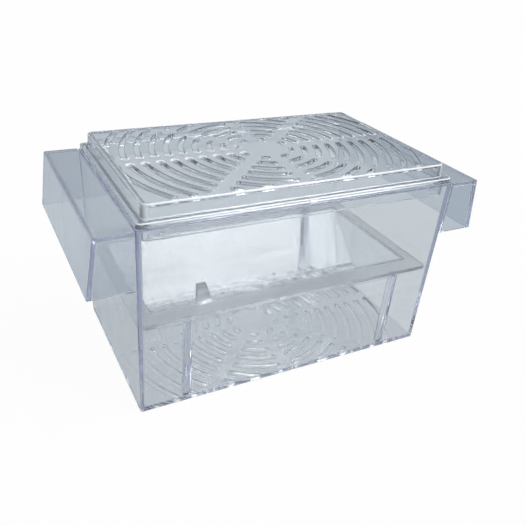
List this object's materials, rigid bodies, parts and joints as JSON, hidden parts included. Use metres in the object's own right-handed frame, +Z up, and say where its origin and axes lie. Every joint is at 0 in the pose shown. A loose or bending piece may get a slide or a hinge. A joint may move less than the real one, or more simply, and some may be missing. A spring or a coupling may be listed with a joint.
{
  "type": "fish breeding box",
  "caption": "Clear floating fish breeding box: slotted-floor tank with end floats, a lift-out V-shaped fry trap and a lift-off slotted lid.",
  "frame": {"origin": "centre of the tank's underside, on the surface it stands on", "axes": "+X along the tank from the left float to the right one, +Y to the back wall, +Z up"},
  "size_m": [0.201, 0.1, 0.1048],
  "materials": {
    "tank_plastic": "clear moulded polystyrene, glossy, faintly blue at its edges",
    "float_plastic": "clear moulded polystyrene, glossy, faintly blue at its edges",
    "fry_trap_plastic": "clear moulded polystyrene, glossy",
    "lid_plastic": "clear moulded polystyrene, glossy, bright at its edges and slot ends"
  },
  "bodies": {
    "tank_body": {"tank": "tank_plastic", "left_float": "float_plastic", "right_float": "float_plastic"},
    "fry_trap_body": {"fry_trap": "fry_trap_plastic"},
    "lid_body": {"lid": "lid_plastic"}
  },
  "joints": [
    {"name": "lid_lift", "type": "slide", "parent": "tank_body", "child": "lid_body", "axis": [0, 0, 1], "range_m": [0, 0.06]},
    {"name": "fry_trap_lift", "type": "slide", "parent": "tank_body", "child": "fry_trap_body", "axis": [0, 0, 1], "range_m": [0, 0.04]}
  ]
}
